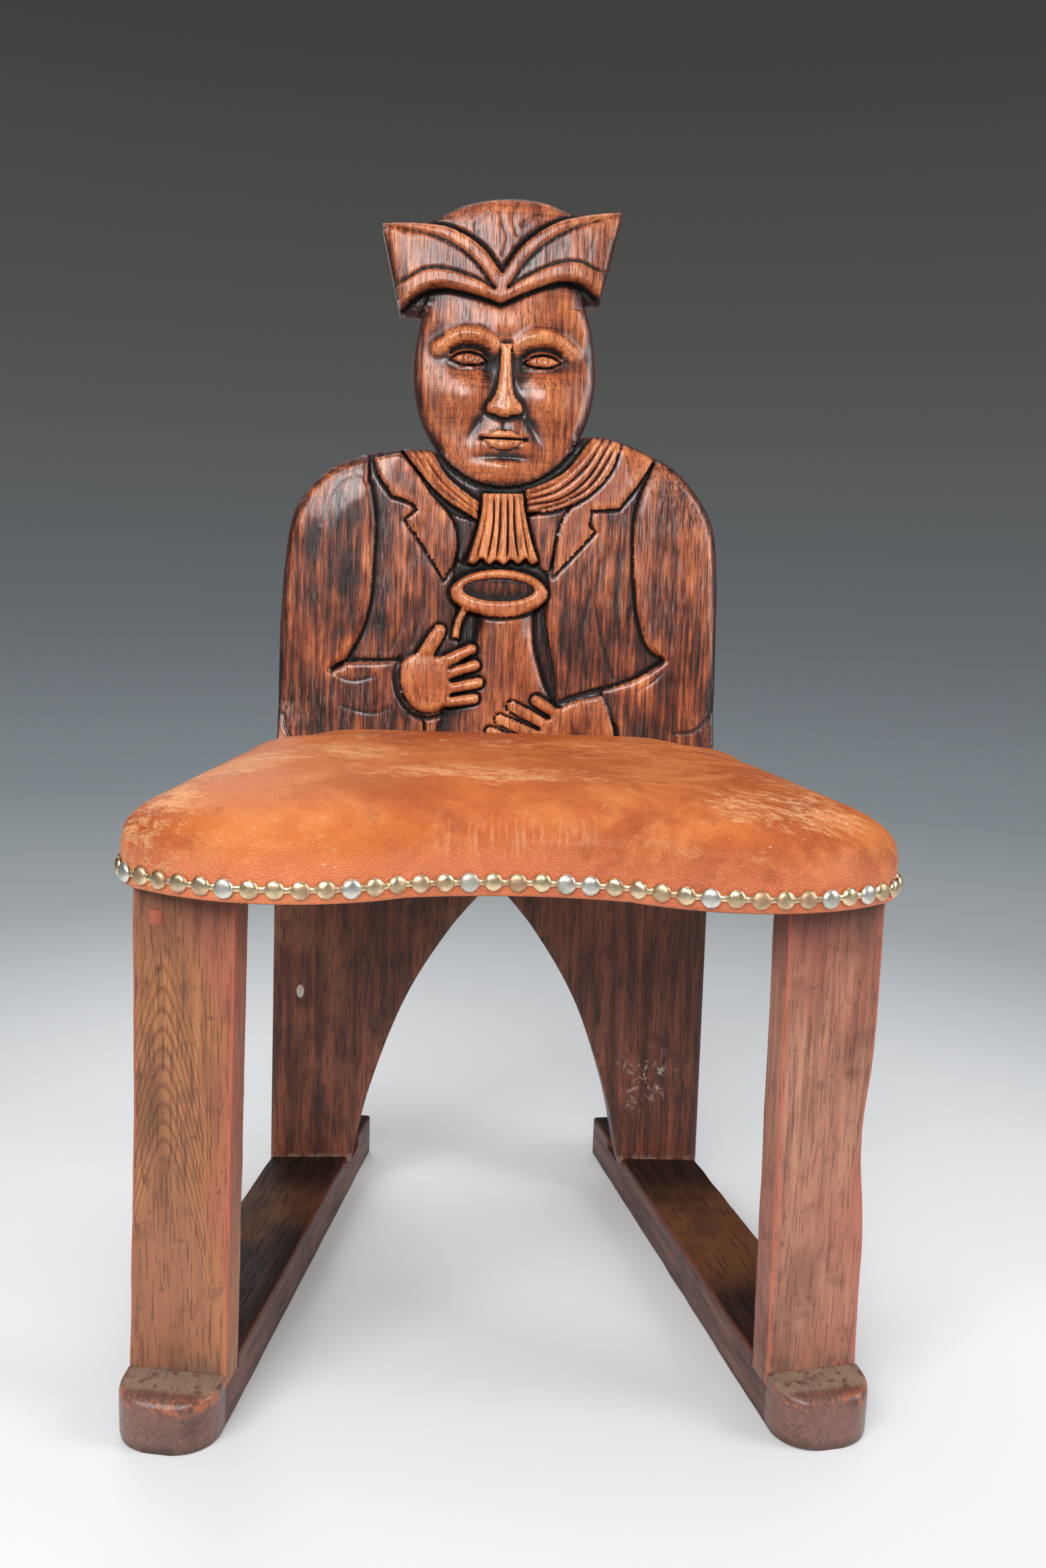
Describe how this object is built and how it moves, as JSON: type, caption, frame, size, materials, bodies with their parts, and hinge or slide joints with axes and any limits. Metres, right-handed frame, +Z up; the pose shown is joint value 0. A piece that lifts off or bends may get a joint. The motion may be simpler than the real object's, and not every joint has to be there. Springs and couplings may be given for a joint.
{
  "type": "carved plank-back chair",
  "caption": "Low chair whose plank back is carved as a man in a three-cornered hat with a jug; leather seat, plank legs on floor runners.",
  "frame": {"origin": "on the floor under the middle of the chair's bounding box", "axes": "+Z up, the front of the chair faces -Y, +X to the viewer's right"},
  "size_m": [0.434, 0.3942, 0.7513],
  "materials": {
    "carved_oak": "satin, dark stain worn back on the high parts",
    "leg_oak": "satin, dark stain",
    "runner_oak": "satin, dark stain",
    "seat_wood": "plain",
    "stuffing": "matt",
    "tan_leather": "worn satin",
    "pressed_brass": "aged",
    "nickel": "aged",
    "peg_wood": "satin",
    "screw_steel": "plain"
  },
  "bodies": {
    "root": {"back_board": "carved_oak", "front_leg_left": "leg_oak", "front_leg_right": "leg_oak", "runner_left": "runner_oak", "runner_right": "runner_oak", "seat_board": "seat_wood", "seat_stuffing": "stuffing", "leather_cover": "tan_leather", "nail_strip": "pressed_brass", "strip_nails": "nickel", "back_ledger": "seat_wood", "leg_block_left": "seat_wood", "leg_block_right": "seat_wood", "leg_peg": "peg_wood", "runner_screws": "screw_steel", "ledger_screws": "screw_steel", "block_screws": "screw_steel"}
  },
  "joints": []
}
